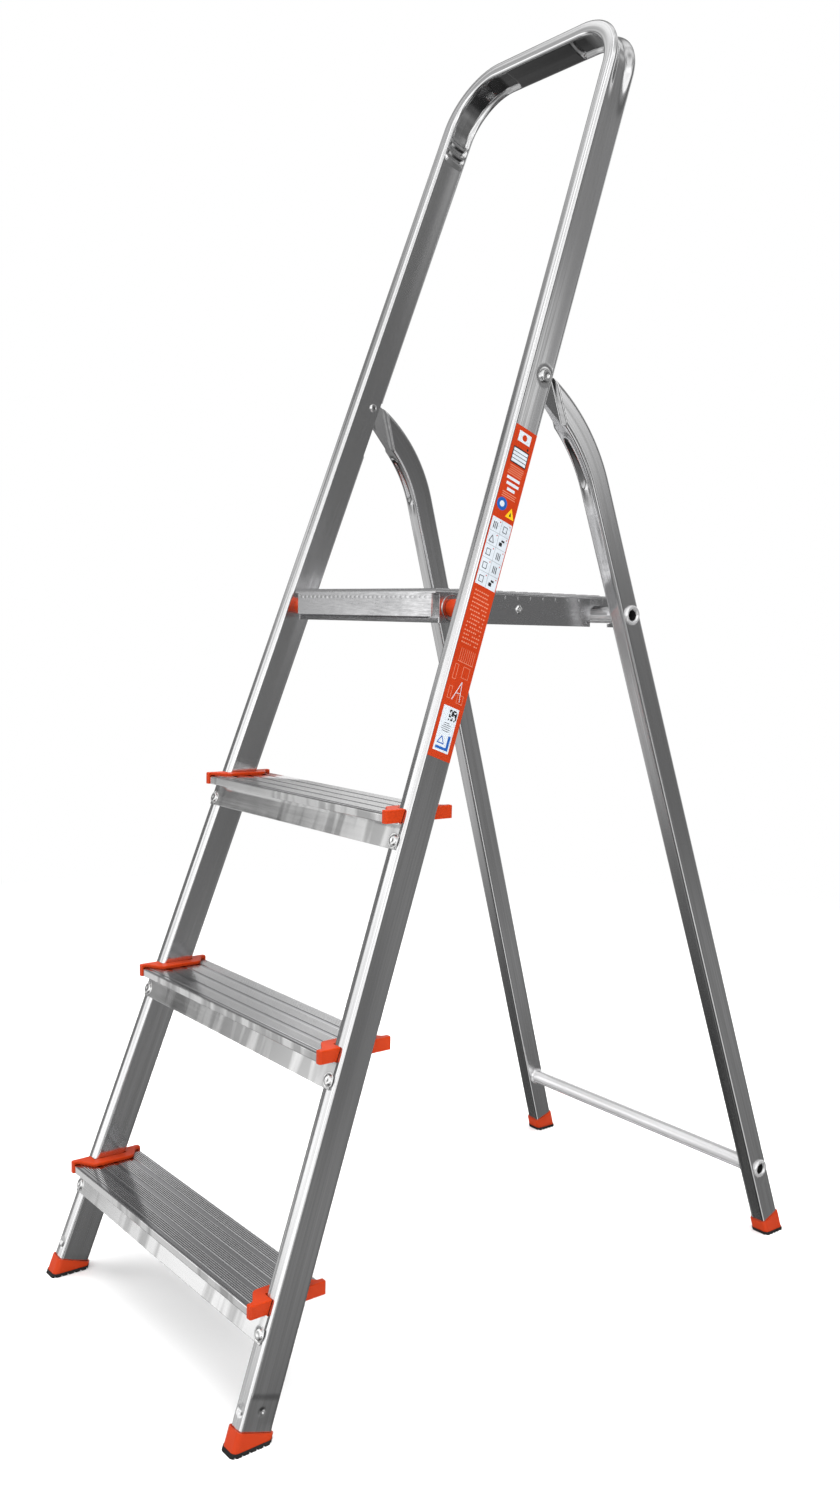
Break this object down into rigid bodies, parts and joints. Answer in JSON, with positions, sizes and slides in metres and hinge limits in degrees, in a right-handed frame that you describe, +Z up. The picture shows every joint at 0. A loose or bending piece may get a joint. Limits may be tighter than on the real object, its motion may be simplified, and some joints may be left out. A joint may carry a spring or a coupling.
{
  "type": "platform step ladder",
  "caption": "Folding step ladder with a bent-tube front frame, ribbed treads, a hinged platform and splayed rear legs that fold flat.",
  "frame": {"origin": "on the floor, in the middle of the footprint", "axes": "+Z up, +Y from the climbing side towards the rear legs, +X to the right of a person climbing"},
  "size_m": [0.477, 0.8664, 1.5486],
  "materials": {
    "drawn_aluminium": "bright drawn tube with fine lengthwise draw lines, polished at the bends",
    "leg_aluminium": "drawn tube with fine lengthwise lines",
    "tread_aluminium": "extruded, ribbed on top, fine lines along its length",
    "deck_aluminium": "rolled sheet, satin",
    "orange_plastic": "moulded, semi-gloss",
    "black_rubber": "moulded, matt",
    "rivet_steel": "zinc plated, bright",
    "printed_label": "printed film, gloss, plain coloured panels with no text"
  },
  "bodies": {
    "front_frame": {"front_frame_tube": "drawn_aluminium", "front_shoe_left": "orange_plastic", "front_shoe_right": "orange_plastic", "front_sole_left": "black_rubber", "front_sole_right": "black_rubber", "leg_hinge_rivet_left": "rivet_steel", "leg_hinge_rivet_right": "rivet_steel", "platform_bush_left": "orange_plastic", "platform_bush_right": "orange_plastic", "platform_pivot_rivet_left": "rivet_steel", "platform_pivot_rivet_right": "rivet_steel", "rating_label": "printed_label", "tread_1": "tread_aluminium", "tread_1_cap_left": "orange_plastic", "tread_1_cap_right": "orange_plastic", "tread_1_rivets": "rivet_steel", "tread_2": "tread_aluminium", "tread_2_cap_left": "orange_plastic", "tread_2_cap_right": "orange_plastic", "tread_2_rivets": "rivet_steel", "tread_3": "tread_aluminium", "tread_3_cap_left": "orange_plastic", "tread_3_cap_right": "orange_plastic", "tread_3_rivets": "rivet_steel"},
    "rear_frame": {"lower_cross_tube": "leg_aluminium", "rear_leg_left": "leg_aluminium", "rear_leg_right": "leg_aluminium", "rear_shoe_left": "orange_plastic", "rear_shoe_right": "orange_plastic", "rear_sole_left": "black_rubber", "rear_sole_right": "black_rubber", "upper_cross_tube": "leg_aluminium"},
    "platform": {"platform_pan": "deck_aluminium", "platform_stiffener": "deck_aluminium", "platform_rivets": "rivet_steel"}
  },
  "joints": [
    {"name": "rear_fold", "type": "hinge", "parent": "front_frame", "child": "rear_frame", "pos_m": [0, -0.01113, 1.099], "axis": [-1, 0, 0], "range_deg": [0, 37.5]},
    {"name": "platform_fold", "type": "hinge", "parent": "front_frame", "child": "platform", "pos_m": [0, -0.11158, 0.836], "axis": [1, 0, 0], "range_deg": [0, 70]}
  ],
  "couplings": [
    {"joint": "platform_fold", "follows": "rear_fold", "ratio": 1.8666}
  ]
}
